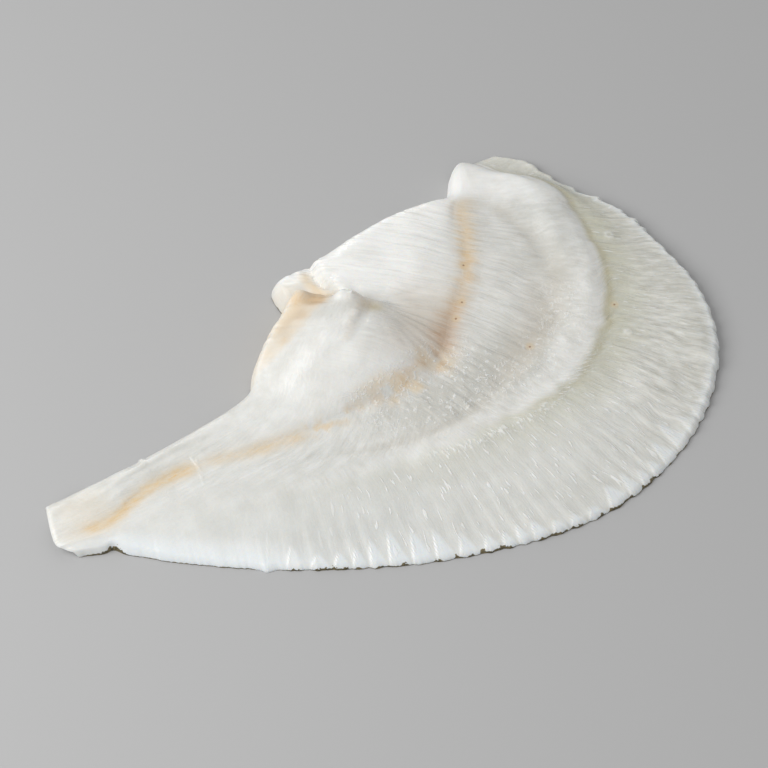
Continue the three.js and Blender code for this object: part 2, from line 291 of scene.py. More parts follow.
def guide_points(ribs):
    """Plan of the guide lines at each rib, with the outline's scallops, tags and nick, by axis and line."""
    lines = np.array([read_line(line, ribs) for line in (BACK_LINE, SEAM_LINE, CREASE_LINE, EDGE_LINE)])
    outward = lines[EDGE] - lines[CREASE]
    scallop = SCALLOP_DEPTH * fringe_share(ribs) * (2 * ridge_profile(ribs) - 1)
    growth = 1 + RAGGED_GROWTH * ease(*RAGGED_GROWTH_RIBS, ribs)
    ragged = RAGGED_EDGE * growth * (rib_noise(ribs, 3.1, 13) - 1)
    nick = NICK_DEPTH * bell(ribs - NICK_RIB, NICK_HALF_WIDTH)
    lines[EDGE] += outward / np.hypot(*outward) * (scallop + ragged - nick + tag_reach(EDGE_TAGS, ribs))
    inward = lines[SEAM] - lines[BACK]
    frill = LIP_FRILL * (rib_noise(ribs, 1.1, 14) - 1) * stretch((38, 46), (64, 66), ribs)
    lines[BACK] -= inward / np.hypot(*inward) * (tag_reach(BACK_TAGS, ribs) + frill)
    return lines.transpose(1, 0, 2)


class Flesh:
    """The fillet's upper surface as rows of ribs and columns of stations."""

    def __init__(self):
        ribs = np.linspace(0, HEAD_RIB, RIB_ROWS + 1)
        guides = guide_points(ribs)
        spans = np.hypot(*np.diff(guides, axis=1))
        back_round = np.minimum(MOST_ROUNDED_BACK, read_line(BACK_RIM, ribs, level=True)[0] / spans[BACK])
        edge_round = np.minimum(MOST_ROUNDED_EDGE, EDGE_RIM / spans[CREASE])
        angle = np.linspace(-RIM_TUCK, math.pi / 2, RIM_POINTS)
        inset = 1 - np.cos(angle)
        rise = (np.sin(angle) + math.sin(RIM_TUCK)) / (1 + math.sin(RIM_TUCK))
        inner = np.linspace(0, 1, LOIN_POINTS, endpoint=False)[1:]
        loin = back_round[:, None] + (SEAM - back_round[:, None]) * inner
        middle = np.linspace(SEAM, CREASE, MIDDLE_POINTS, endpoint=False)
        outer = np.linspace(0, 1, FRINGE_POINTS, endpoint=False)
        fringe = CREASE + (EDGE - edge_round[:, None] - CREASE) * outer
        self.stations = np.hstack([
            back_round[:, None] * inset,
            loin,
            np.broadcast_to(middle, (len(ribs), MIDDLE_POINTS)),
            fringe,
            EDGE - edge_round[:, None] * inset[::-1],
        ])
        self.rise = np.ones(self.stations.shape[1])
        self.rise[:RIM_POINTS] = rise
        self.rise[-RIM_POINTS:] = rise[::-1]
        self.ribs = ribs
        self.rib = np.broadcast_to(ribs[:, None], self.stations.shape)
        self.x, self.y = (curve((BACK, SEAM, CREASE, EDGE), axis, self.stations) for axis in guides)
        steps = np.hypot(np.diff(self.x), np.diff(self.y))
        self.along = np.hstack([np.zeros((len(ribs), 1)), np.cumsum(steps, axis=1)])
        seam_column = RIM_POINTS + LOIN_POINTS - 1
        crease_column = seam_column + MIDDLE_POINTS
        self.from_seam = self.along - self.along[:, seam_column:seam_column + 1]
        self.wander = CREASE_WANDER * (rib_noise(ribs, 0.55, 15) - 0.5)[:, None]
        self.from_crease = self.along - self.along[:, crease_column:crease_column + 1] + self.wander
        self.middle_span = spans[SEAM][:, None]
        self.from_edge = self.along[:, -1:] - self.along

    def by_rib(self, points):
        """One level value for each rib, as a column that spreads over the stations."""
        return read_line(points, self.ribs, level=True)[0][:, None]

    def zone(self, low_rib, high_rib, low_station, high_station, soft_ribs, soft_stations):
        """1 inside a zone, 0 outside."""
        ribs = ease(low_rib - soft_ribs, low_rib + soft_ribs, self.rib)
        ribs = ribs * (1 - ease(high_rib - soft_ribs, high_rib + soft_ribs, self.rib))
        stations = ease(low_station - soft_stations, low_station + soft_stations, self.stations)
        past = ease(high_station - soft_stations, high_station + soft_stations, self.stations)
        return ribs * stations * (1 - past)

    def sum_of(self, zones):
        """Amounts of a table of (amount, zone) added up."""
        return sum(amount * self.zone(*zone) for amount, *zone in zones)

    def most_of(self, zones):
        """Greatest amount of a table of (amount, zone)."""
        return np.max([amount * self.zone(*zone) for amount, *zone in zones], axis=0)

    def spot(self, rib, station, half_ribs, half_stations):
        return bell(self.rib - rib, half_ribs) * bell(self.stations - station, half_stations)

    def from_wall(self):
        """Ribs past the end wall of the block behind the tongue."""
        return self.rib - by_station(BLOCK_WALL, self.stations)

    def smooth_height(self):
        """Height of the plain form over its flat underside."""
        at = [station for station, _ in HEIGHT_LINES]
        heights = np.array([read_line(points, self.ribs, level=True)[0] for _, points in HEIGHT_LINES])
        wander = self.wander / self.middle_span * bell(self.stations - CREASE, CREASE_HALF_STATIONS)
        whole = curve(at, heights, self.stations + wander, level=True)
        wall = by_station(BLOCK_WALL, self.stations)
        over = (self.rib - TONGUE_START[1]) / np.maximum(wall - TONGUE_START[1], LEAST_TONGUE_RIBS)
        tongue = by_station(TONGUE_HEIGHT, self.stations)
        tongue = tongue * (1 - (1 - TONGUE_END_SHARE) * np.clip(2 * over - 1, -1, 1) ** 2)
        cut = ease(*TONGUE_START, self.rib) * (1 - ease(-WALL_HALF_RIBS, WALL_HALF_RIBS, self.from_wall()))
        return whole + (np.minimum(tongue, whole) - whole) * cut


# Inner and outer borders of the roll as (rib, station): the valley beside it and its frayed hem.
ROLL_VALLEY = [
    (0, 1.6), (28, 1.6), (34, 1.71), (40, 1.77), (47, 1.71), (52, 1.62), (58, 1.56), (65, 1.58), (70, 1.64),
    (77, 1.66), (84, 1.57), (87, 1.5), (94, 1.26), (100, 1.1),
]
ROLL_HEM = [
    (0, 1.9), (28, 1.94), (34, 2), (39, 2.05), (43, 2.1), (51, 2.1), (54, 2.07), (65, 2), (75, 1.98),
    (100, 1.9),
]
ROLL_BORDER = (-0.08, 0.08)
VALLEY_HALF_STATIONS = 0.09
FRAY_HEIGHT = 0.2
FRAY_WANDER = 0.06
FRAY_HALF_STATIONS = 0.045

# Grain of the flesh across the ribs: width of a rib, slant in the middle and wavering.
RIB_WIDTH = 3.2
SLANT = 0.25
WAVER = 1.4
WAVER_ZONES = [(1.6, 44, 84, SEAM, CREASE, 6, 0.1), (0.6, 52, 99, 2.1, 3.2, 6, 0.1)]

# Fibres of the surface: seed, layers of (size across the ribs, size along them, height), and zone.
FIBRES = {
    "fringe": (61, [(2.6, 14, 0.4), (1.2, 7, 0.24)], (6, 99, 2, 3.2, 4, 0.12)),
    "block": (63, [(1.6, 26, 0.32), (0.9, 16, 0.15)], (68, 92, -0.5, 1, 2, 0.12)),
    "middle": (65, [(4.2, 10, 0.55), (1.7, 7, 0.3), (0.9, 4, 0.12)], (44, 93, 1, 2.2, 5, 0.12)),
    "tail": (67, [(26, 4, 0.15), (14, 1.8, 0.06)], (-9, 40, -0.5, 1.9, 8, 0.12)),
}
FRINGE_STRENGTH = [(0, 0.1), (15, 0.1), (30, 0.15), (48, 0.3), (58, 0.9), (70, 1.8), (92, 1.8), (98, 1)]
ROLL_SMOOTHNESS = 0.75

# Swells of the surface as (height, size, shift, seed), and how much calmer they are by the tail.
SWELLS = [(0.9, 17, 40, 51), (0.45, 7, 40, 51)]
CALM = 0.6

# Clear blisters on the fringe as (x, y, half width, height).
BLISTERS = [(111, 6.2, 2.4, 0.5), (82, -31, 1.6, 0.4)]

# Teeth, the white ends of the fin-ray ridges, each with a painted highlight along one border. Widths are
# shares of a ridge.
TOOTH_LENGTH = (5, 17)
TOOTH_WIDTH = 0.42
TOOTH_TAPER = 1.2
TOOTH_SOFTNESS = 0.13
TOOTH_FADE = 0.15
TOOTH_HIGHLIGHT_WIDTH = 0.05
TOOTH_STRENGTH = [(0, 0.7), (20, 1), (60, 1), (72, 0.5), (90, 0.3), (100, 0)]
TOOTH_HEIGHT = 0.12

# Wrinkled flap of membrane from the knuckle down the furrow: its path in plan and its form.
FLAP = [(13.8, 45.8), (12.9, 41.8), (8.6, 39.6), (4.4, 38.2), (-1.2, 34.2), (-5, 32.6)]
FLAP_HALF_WIDTH = 1.3
FLAP_LEAST = 0.35

# Fan of tension lines on the lump's flank: the point that they spread from and their form.
FAN_POINT = (15.4, 43)
FAN_LINES = 130
FAN_LENGTH = 22
FAN_REACH = (3, 14)

# White flecks of membrane, which also stand in for painted glints, in the valley, along the roll's foot and
# along the seam.
FLECK_ZONES = [
    (1, 36, 60, 1.04, 1.7, 5, 0.1),
    (0.7, 52, 76, 1.5, 1.86, 5, 0.1),
    (1, 36, 56, 0.84, 1.1, 4, 0.06),
]
FLECK_LEVELS = (0.5, 0.75)

# White tear across the tail's seam: its strands in plan, half width and unevenness.
TEARS = [
    [(-74.8, 41.4), (-75.4, 38), (-76.9, 35.1), (-77.6, 32.6), (-79.2, 29.9)],
    [(-74, 39.4), (-75.9, 36.2), (-76.4, 33.4)],
]
TEAR_HALF_WIDTH = 0.32
TEAR_LEAST = 0.3
TEAR_MORE = 0.6


def grain_across(flesh):
    """Place across the fibres in millimetres: they run along the ribs, slanted in the middle, and waver."""
    slant = SLANT * flesh.zone(48, 80, SEAM, CREASE, 8, 0.1) * flesh.from_seam
    waver = WAVER + flesh.sum_of(WAVER_ZONES)
    return flesh.rib * RIB_WIDTH + slant + waver * (plan_noise(flesh, 8, 60, 17) - 0.5)


def streaks(flesh, seed, layers):
    """Uneven fibres from -0.5 to 0.5 of each layer's height."""
    place = grain_across(flesh)
    total = 0
    for step, (across, along, height) in enumerate(layers):
        total = total + height * (noise(place / across, flesh.along / along, seed + step) - 0.5)
    return total


def distance_to(path, x, y):
    """Distance in plan to a path of straight stretches."""
    nearest = np.full(x.shape, np.inf)
    for (x0, y0), (x1, y1) in zip(path, path[1:]):
        length = math.hypot(x1 - x0, y1 - y0)
        share = np.clip(((x - x0) * (x1 - x0) + (y - y0) * (y1 - y0)) / length ** 2, 0, 1)
        nearest = np.minimum(nearest, np.hypot(x - x0 - share * (x1 - x0), y - y0 - share * (y1 - y0)))
    return nearest


def valley_share(flesh):
    """The valley along the roll's inner border."""
    off = flesh.stations - flesh.by_rib(ROLL_VALLEY)
    return bell(off, VALLEY_HALF_STATIONS) * stretch((24, 34), (90, 96), flesh.rib)


def roll_share(flesh):
    """The smooth flesh of the roll, from its inner border on."""
    return ease(*ROLL_BORDER, flesh.stations - flesh.by_rib(ROLL_VALLEY))


def hem_fray(flesh):
    """Torn white membrane along the roll's outer border."""
    line = flesh.by_rib(ROLL_HEM) + FRAY_WANDER * (rib_noise(flesh.rib, 1.3, 34) - 0.5)
    return bell(flesh.stations - line, FRAY_HALF_STATIONS) * stretch((34, 42), (62, 70), flesh.rib)


def fleck_share(flesh):
    """Lumps of membrane where the flecks lie."""
    return flesh.most_of(FLECK_ZONES) * ease(*FLECK_LEVELS, plan_noise(flesh, 3, 0, 31))


def tooth_share(flesh):
    """Where the white teeth lie, broad at the edge and tapering inwards, and the painted highlights along
    their borders.
    """
    turns = ridge_turns(flesh.rib)
    shortest, longest = TOOTH_LENGTH
    length = shortest + (longest - shortest) * rib_noise(np.floor(turns) + 0.5, 1, 12)
    half_width = TOOTH_WIDTH * np.clip(1 - flesh.from_edge / length, 0, 1) ** TOOTH_TAPER
    off_middle = turns % 1 - 0.5
    inside = 1 - ease(half_width - TOOTH_SOFTNESS, half_width + TOOTH_SOFTNESS, np.abs(off_middle))
    shown = ease(0, TOOTH_FADE, half_width) * fringe_share(flesh.rib) * flesh.by_rib(TOOTH_STRENGTH)
    # The second share is the painted highlight along each tooth's border.
    return inside * shown, bell(off_middle + half_width, TOOTH_HIGHLIGHT_WIDTH) * shown


def tear_share(flesh):
    """Strands of torn white membrane, thicker and thinner along their length."""
    strands = sum(bell(distance_to(path, flesh.x, flesh.y), TEAR_HALF_WIDTH) for path in TEARS)
    uneven = TEAR_LEAST + TEAR_MORE * ease(*PATCH_LEVELS, plan_noise(flesh, 1.2, 90, 25))
    return np.clip(strands, 0, 1) * uneven


def flap_share(flesh):
    """Wrinkles of the flap from 0 to 1."""
    band = bell(distance_to(FLAP, flesh.x, flesh.y), FLAP_HALF_WIDTH)
    return band * (FLAP_LEAST + (1 - FLAP_LEAST) * plan_noise(flesh, 1.5, 10, 29))


def wrinkles(flesh):
    """Uneven dips from 0 to 1 about the knuckle and on the tongue, as far as the block's end wall."""
    dips = 1 - plan_noise(flesh, 2.3, 25, 39)
    return dips * flesh.zone(61.5, 73, -0.5, 0.5, 2, 0.06) * (1 - ease(-2, 1, flesh.from_wall()))


def fan_lines(flesh):
    """Tension lines from -0.5 to 0.5 that spread over the lump's flank to the seam."""
    away_x = flesh.x - FAN_POINT[0]
    away_y = flesh.y - FAN_POINT[1]
    reach = np.hypot(away_x, away_y)
    turn = np.arctan2(away_y, away_x) / (2 * math.pi) * FAN_LINES
    lines = noise(turn + NOISE_SIZE / 2, reach / FAN_LENGTH, 21) - 0.5
    return lines * flesh.zone(51, 72, 0.54, 1.05, 4, 0.06) * ease(*FAN_REACH, reach)


def fibre_relief(flesh):
    """Height of the fibres, which the roll's smooth flesh has less of."""
    strength = {"fringe": flesh.by_rib(FRINGE_STRENGTH), "middle": 1 - ROLL_SMOOTHNESS * roll_share(flesh)}
    total = 0
    for place, (seed, layers, zone) in FIBRES.items():
        total = total + streaks(flesh, seed, layers) * flesh.zone(*zone) * strength.get(place, 1)
    return total


# Forms that only need a height.
FORM_HEIGHTS = [
    (0.6, fan_lines), (0.9, flap_share), (0.3, fleck_share), (0.15, tear_share), (-0.6, valley_share),
    (-0.9, wrinkles),
]


def relief(flesh):
    """Height of the surface's own detail over the plain form."""
    swells = sum(height * (plan_noise(flesh, *draws) - 0.5) for height, *draws in SWELLS)
    total = swells * (1 - CALM * flesh.zone(4, 34, 1.3, 3.5, 4, 0.2)) + fibre_relief(flesh)
    total = total + sum(height * form(flesh) for height, form in FORM_HEIGHTS)
    total = total + sum(height * flesh.spot(*place) for height, *place in LUMP_BUMPS)
    for x, y, half_width, height in BLISTERS:
        total = total + height * bell(np.hypot(flesh.x - x, flesh.y - y), half_width)
    ridges = RIDGE_HEIGHT * flesh.by_rib(RIDGE_STRENGTH) * (ridge_profile(flesh.rib) - 0.5)
    total = total + ridges * fringe_share(flesh.rib) * ease(CREASE, EDGE, flesh.stations)
    total = total - flesh.by_rib(GROOVE) * bell(flesh.from_seam, GROOVE_HALF_WIDTH)
    total = total + FRAY_HEIGHT * hem_fray(flesh) * plan_noise(flesh, 2.6, 0, 33)
    return total + TOOTH_HEIGHT * tooth_share(flesh)[0]


def end_share(ribs):
    """Rounding of the height at the tail's cut and at the head's end."""
    to_tail = np.clip(ribs / TAIL_ROUND_RIBS, 0, 1)
    tail = TAIL_END_SHARE + (1 - TAIL_END_SHARE) * np.sqrt(1 - (1 - to_tail) ** 2)
    to_head = np.clip((HEAD_RIB - ribs) / HEAD_ROUND_RIBS, 0, 1)
    head = HEAD_END_SHARE + (1 - HEAD_END_SHARE) * np.sqrt(1 - (1 - to_head) ** 2)
    return (tail * head)[:, None]


# Pale tone: its share all over, zones as (amount, zone) and shares of the other forms. Some add painted
# light or shade: the zones marked so, painted shade along the valley, and painted sheen along the rim and
# the toothed edge.
PALE = 0.442
PALE_ZONES = [
    (0.4836, 68, 99, -0.5, 0.85, 2, 0.2),  # block
    (0.2604, 28, 58, -0.5, 0.48, 6, 0.08),  # lump's back lobe
    (0.2232, 28, 56, 0.5, 0.96, 6, 0.08),  # lump's front lobe
    # Painted light on the front lobe's foot, over the shade of its slope.
    (0.25, 44, 58, 0.72, 0.98, 4, 0.08),  # front lobe's foot
    (-0.2, 24, 60, -0.5, 0.3, 4, 0.1),  # behind the lump's lip
    (-0.2232, 54, 66, 0.24, 0.5, 4, 0.06),  # before the knuckle
    # Painted light on the knuckle, over the shade of its right slope.
    (0.6, 61, 66, 0.32, 0.48, 1.5, 0.03),  # knuckle
    # Painted light on the block's end, over the shadow that the lump casts.
    (0.4, 66.5, 71, 0.36, 0.62, 1.5, 0.1),  # block's end beside the knuckle
    (0.3348, 93, 101, -0.5, 1.7, 2.5, 0.15),  # head end
    (-0.1116, 78, 92, 1.5, 1.9, 4, 0.1),  # roll by the head
    (-0.2, 80, 92, 1.5, 1.9, 4, 0.1),  # roll by the head, deeper in
    # Painted shade in the valley beside the roll.
    (-0.22, 58, 84, 1.4, 1.66, 8, 0.1),  # valley beside the roll
    (-0.186, 38, 66, 1.1, 1.7, 6, 0.15),  # middle
    (-0.3, 40, 62, 1.2, 1.75, 6, 0.15),  # middle, deeper in
    (-0.2, 6, 20, 0.3, 1.1, 4, 0.2),  # tail
    (-0.1116, 10, 34, 1.2, 2.7, 4, 0.2),  # between the tail and the fringe
    # Painted sheen of the rim along the fringe's edge by the tail.
    (0.2232, -5, 20, 2.5, 3.5, 3, 0.3),  # fringe's edge by the tail
    (-0.15, 14, 26, 2.4, 2.9, 5, 0.15),  # fringe by the tail
    (0.08928, 48, 66, 2.1, 3.2, 8, 0.15),  # fringe's middle
    (-0.08928, 66, 97, 2.2, 2.9, 4, 0.15),  # fringe by the head
]
PALE_CREST = [(0, 0), (16, 0.0372), (28, 0.186), (56, 0.186), (70, 0.08928), (100, 0.08928)]
PALE_FAN = 0.2976
PAINTED_VALLEY_SHADE = -0.22
PAINTED_RIM_SHEEN = 0.1488
PALE_TOOTH = 0.5952
PALE_STRAY_TOOTH = 0.2976
PALE_TOOTH_GAP = -0.08928
PAINTED_EDGE_SHEEN = 0.05952
EDGE_SHEEN_BAND = (0.5, 4)

# Crest of the roll as (rib, station), and its half width.
ROLL_CREST = [
    (0, 2), (24, 2), (45, 2.07), (54, 2), (66, 1.91), (77, 1.85), (84, 1.76), (95, 1.62), (100, 1.4),
]
CREST_HALF_STATIONS = 0.11

# Painted cool sheen of the fringe's rounded rim: where its teeth stand apart, where it starts and its depth
# by rib.
TOOTHED_ZONE = (20, 62, 2, 3.5, 4, 0.1)
RIM_START = 1
RIM_DEPTH = [(0, 10), (20, 10), (30, 5), (100, 5)]
RIM_BETWEEN_TEETH = 0.2

# Cool tone of the fringe, the tail and the roll by the head, as (amount, zone).
COOL_ZONES = [
    (0.25, -9, 60, 2.2, 3.5, 6, 0.3),
    (0.2, -9, 34, 1.2, 3.5, 6, 0.3),
    (0.15, -9, 30, -0.5, 1.3, 6, 0.3),
    (0.25, 82, 98, 1.5, 2, 4, 0.15),
]

# Green and olive tones from the crease outwards: by rib, and by millimetres from the crease.
GREEN = [(0, 0), (20, 0.1), (40, 0.35), (55, 0.7), (94, 0.85), (100, 0.3)]
GREEN_START = (-2, 2.5)
GREEN_REACH = (3, 22)
GREEN_FADE = 0.75
OLIVE = [(0, 0), (44, 0), (58, 0.5), (70, 0.75), (97, 0.7), (100, 0)]
OLIVE_SHIFT = 1.2
OLIVE_HALF_WIDTH = 1.8
NOTCH_OLIVE = 0.9

# Cream lip along the lump's back edge: strength and station of its border by rib, and its patches.
LIP_STRENGTH = [(0, 0), (34, 0.25), (44, 0.5), (50, 0.62), (56, 0.72), (60, 0.8), (66, 0.8)]
LIP_BORDER = [(0, 0.06), (36, 0.06), (41, 0.14), (46, 0.18), (52, 0.2), (56, 0.22), (62, 0.26), (66, 0.28)]
LIP_SOFTNESS = (0.035, 0.02)
LIP_LEAST = 0.6
INNER_LIP_WIDTH = 0.06
INNER_LIP_LEAST = 0.3
INNER_LIP_MORE = 0.5

# White margin of the lip: strength, distance from the back edge and half width.
MARGIN = 0.7
MARGIN_ALONG = 3.2
MARGIN_HALF_WIDTH = 1.1

# Other cream places: the tongue's far end, the tail and the foot of the lump.
CREAM_TONGUE = 0.7
CREAM_TONGUE_RIBS = (1.5, 0.9)
CREAM_TAIL = 0.2
CREAM_FOOT = 0.6

# Beige places: the lump's flank, the valley, the lump's top beside the knuckle and its brow.
BEIGE_ZONES = [
    (0.35, 50, 70, 0.66, 1, 6, 0.12),
    (0.14, 56, 76, 1.4, 1.66, 6, 0.08),
    (0.1, 58, 65, 0.41, 0.52, 3, 0.04),
    (0.45, 60.5, 66, 0.14, 0.26, 2.5, 0.04),
]
BEIGE_VALLEY = 0.08
BEIGE_FLAP = 0.35
BEIGE_NOTCH = 0.3

# Stain along the seam as (rib, strength, share of rust, width and shift towards the fringe in millimetres).
STAIN = [
    (0, 0, 0, 2, 1), (1.5, 0.1, 0, 2.4, 1), (2.6, 0.66, 0, 2.4, 1), (8, 0.74, 0, 2.6, 1),
    (14.8, 0.7, 0, 3, 1), (16.6, 0.2, 0, 2.6, 1), (18.4, 0.36, 0, 3, 1), (27, 0.5, 0, 3.4, 1),
    (33, 0.3, 0, 3.4, 1), (42, 0.22, 0.2, 4.4, 0), (49, 0.32, 0.4, 4.8, -1), (54, 0.46, 0.6, 4.6, -1.2),
    (59, 0.68, 0.8, 5.2, -1.6), (64, 0.66, 0.7, 4.6, -0.6), (70, 0.58, 0.3, 3.8, 0.6),
    (80, 0.6, 0.1, 3.8, 1), (91, 0.46, 0, 4, 1), (95, 0, 0, 3, 1), (100, 0, 0, 3, 1),
]
STAIN_FRAY = (71, [(0.9, 30, 1)])
STAIN_FRAY_LEAST = 0.6
STAIN_FRAY_MORE = 2.6
STAIN_FRAY_RIBS = (36, 52)
STAIN_GAP_LEVELS = (0.4, 0.75)
STAIN_PATCH = 1.5

# Stain on the lump's brow, beside the lip.
BROW = 0.55
BROW_RUST = 0.35

# White membrane and painted highlights: shares of the tear, the painted highlight in a ring on each blister
# and the flap's wrinkles.
WHITE_TEAR = 0.5
BLISTER_HIGHLIGHT = 0.7
BLISTER_HIGHLIGHT_RING = 0.6
BLISTER_HIGHLIGHT_HALF_WIDTH = 0.7
WHITE_FLAP = 0.6
WHITE_FLAP_LEVELS = (0.5, 0.8)

# Height up to which the skin's cut edge shows, as (rib, millimetres), and its dashes past the tail.
HEM = [
    (0, 0.1), (0.6, 0.6), (1.8, 1.2), (2.8, 2.2), (3.4, 3), (3.9, 2.8), (4.6, 1.1), (5.2, 0.6), (16, 0.6),
    (16.8, 0.1), (18.2, 0.1), (19, 1), (30, 1.15), (60, 1.15), (68, 0.7), (74, 0.2), (100, 0.2),
]
DASH_RIB = 18
DASH_LEAST = 0.4
DASH_MORE = 0.9

# How strongly the fibres show as stripes of tone.
STRIPES = 0.03
FRINGE_STRIPES = [(0, 0), (18, 0), (30, 0.02), (48, 0.04), (58, 0.1), (68, 0.23), (100, 0.23)]
MIDDLE_STRIPES = 0.08
ROLL_STRIPE_LOSS = 0.6
STRIPE_ZONES = [
    (0.05, 68, 93, -0.5, 1, 2, 0.1),  # block
    (0.08, 22, 44, 1, 2, 6, 0.1),  # middle by the tail
    (0.08, -9, 26, -0.5, 1.6, 6, 0.1),  # tail
    (0.045, 26, 62, -0.5, 0.46, 4, 0.06),  # lump's back lobe
    (0.02, 26, 62, 0.46, 0.9, 4, 0.06),  # lump's front lobe
]

# Dull flesh, and fibres that run lengthwise, as (amount, zone).
DULL_ZONES = [(1, 94, 101, -0.5, 2.2, 2, 0.12), (1, 30, 66, -0.5, 0.3, 4, 0.1)]
LENGTHWISE_ZONES = [
    (1, -9, 42, -0.5, 1.9, 8, 0.12),
    (1, -9, 66, -0.5, 0.5, 4, 0.1),
    (1, -9, 16, 1.5, 3.5, 4, 0.12),
]


def rim_sheen_band(flesh):
    """The fringe's outer band of painted sheen, 1 at its edge."""
    return 1 - ease(RIM_START, RIM_START + flesh.by_rib(RIM_DEPTH), flesh.from_edge)


def pale_tone(flesh, teeth):
    toothed = flesh.zone(*TOOTHED_ZONE)
    crest = bell(flesh.stations - flesh.by_rib(ROLL_CREST), CREST_HALF_STATIONS)
    # The valley beside the roll gets painted shade.
    pale = PALE + flesh.sum_of(PALE_ZONES) + PALE_FAN * fan_lines(flesh) + PAINTED_VALLEY_SHADE * valley_share(flesh)
    pale = pale + crest * flesh.by_rib(PALE_CREST)
    # Painted sheen along the fringe's rim, and along the edge where the teeth stand apart.
    pale = pale + (PAINTED_RIM_SHEEN * rim_sheen_band(flesh) + PALE_STRAY_TOOTH * teeth) * (1 - toothed)
    edge = 1 - ease(*EDGE_SHEEN_BAND, flesh.from_edge)
    pale = pale + (PALE_TOOTH * teeth + PALE_TOOTH_GAP + PAINTED_EDGE_SHEEN * edge) * toothed
    return np.clip(pale, 0, 1)


def cool_tone(flesh, teeth):
    """Cool white of the teeth, fainter on the lower fringe and the tail, and a painted cool sheen along the
    fringe's rim.
    """
    toothed = flesh.zone(*TOOTHED_ZONE)
    band = rim_sheen_band(flesh) * flesh.zone(3, 96, 2, 3.2, 3, 0.1) * (1 - (1 - RIM_BETWEEN_TEETH) * toothed)
    return flesh.sum_of(COOL_ZONES) + np.maximum(teeth * toothed, band)


def green_tone(flesh):
    fade = 1 - GREEN_FADE * ease(*GREEN_REACH, flesh.from_crease)
    return ease(*GREEN_START, flesh.from_crease) * fade * flesh.by_rib(GREEN)


def olive_tone(flesh):
    """Olive line along the crease, and the notch beside the knuckle."""
    line = bell(flesh.from_crease - OLIVE_SHIFT, OLIVE_HALF_WIDTH) * flesh.by_rib(OLIVE)
    return line + NOTCH_OLIVE * flesh.spot(61.8, 0.53, 2, 0.06)


def cream_tone(flesh, patchy):
    """Cream of the lip, the tongue's far end, the tail and the lump's foot."""
    border = flesh.by_rib(LIP_BORDER)
    lip = 1 - ease(border - LIP_SOFTNESS[0], border + LIP_SOFTNESS[1], flesh.stations)
    lip = lip * flesh.by_rib(LIP_STRENGTH) * flesh.zone(30, 65.8, -0.5, 1, 4, 0.12)
    off, half_ribs = CREAM_TONGUE_RIBS
    tongue = bell(flesh.from_wall() + off, half_ribs) * flesh.zone(66, 71.5, 0.1, 0.38, 1, 0.05)
    foot = flesh.zone(40, 57, 0.84, 1.12, 4, 0.08) * ease(*PATCH_LEVELS, plan_noise(flesh, 5, 30, 77))
    cream = (LIP_LEAST + (1 - LIP_LEAST) * patchy) * lip + CREAM_TONGUE * tongue + CREAM_FOOT * foot
    return np.clip(cream + CREAM_TAIL * flesh.zone(0.8, 5, 0.2, 1.6, 1.5, 0.3), 0, 1)


def beige_tone(flesh, patchy):
    """Beige of the lump's flank, notch and flap, of the lip's inner border and of the valley."""
    inner_lip = bell(flesh.stations - flesh.by_rib(LIP_BORDER) + INNER_LIP_WIDTH, INNER_LIP_WIDTH)
    inner_lip = inner_lip * (INNER_LIP_LEAST + INNER_LIP_MORE * patchy)
    inner_lip = inner_lip * flesh.zone(48, 65.5, 0, 0.4, 4, 0.12)
    beige = flesh.sum_of(BEIGE_ZONES) + BEIGE_NOTCH * flesh.spot(62.6, 0.51, 2.6, 0.065) + inner_lip
    return np.clip(beige + BEIGE_VALLEY * valley_share(flesh) + BEIGE_FLAP * flap_share(flesh), 0, 1)


def seam_stain(flesh):
    """Stain along the seam, frayed along the fibres and broken beside the lump, and its share of rust."""
    strength, rust, width, shift = read_line(STAIN, flesh.ribs, level=True)[:, :, None]
    fray = STAIN_FRAY_LEAST + STAIN_FRAY_MORE * ease(*STAIN_FRAY_RIBS, flesh.rib)
    off = flesh.from_seam - shift - fray * streaks(flesh, *STAIN_FRAY)
    patches = STAIN_PATCH * ease(*STAIN_GAP_LEVELS, plan_noise(flesh, 2.6, 20, 73))
    broken = 1 - flesh.zone(29, 55, 0.7, 1.3, 3, 0.1) * (1 - patches)
    return strength * broken * bell(off, width), rust


def white_membrane_and_highlights(flesh, border_highlights):
    """Membrane of the tear, the lip's margin and the flap, and painted highlights along the teeth's borders
    and in a ring on each blister.
    """
    margin = bell(flesh.along - MARGIN_ALONG, MARGIN_HALF_WIDTH) * flesh.zone(38, 63, -0.5, 0.2, 3, 0.12)
    white = WHITE_TEAR * tear_share(flesh) + border_highlights + MARGIN * margin
    # A painted highlight in a ring on each clear blister.
    for x, y, half_width, _ in BLISTERS:
        from_ring = np.hypot(flesh.x - x, flesh.y - y) - BLISTER_HIGHLIGHT_RING * half_width
        white = white + BLISTER_HIGHLIGHT * bell(from_ring, BLISTER_HIGHLIGHT_HALF_WIDTH)
    return np.clip(white + WHITE_FLAP * ease(*WHITE_FLAP_LEVELS, flap_share(flesh)), 0, 1)


def stripe_strength(flesh):
    fringe = flesh.by_rib(FRINGE_STRIPES) * flesh.zone(10, 99, 2.02, 3.2, 6, 0.1)
    middle = MIDDLE_STRIPES * flesh.zone(44, 93, 1, 2, 5, 0.1) * (1 - ROLL_STRIPE_LOSS * roll_share(flesh))
    return STRIPES + fringe + middle + flesh.sum_of(STRIPE_ZONES)


def skin_hem(flesh):
    dashes = DASH_LEAST + DASH_MORE * ease(*PATCH_LEVELS, rib_noise(flesh.rib, 1.7, 37))
    return flesh.by_rib(HEM) * np.where(flesh.rib > DASH_RIB, dashes, 1)


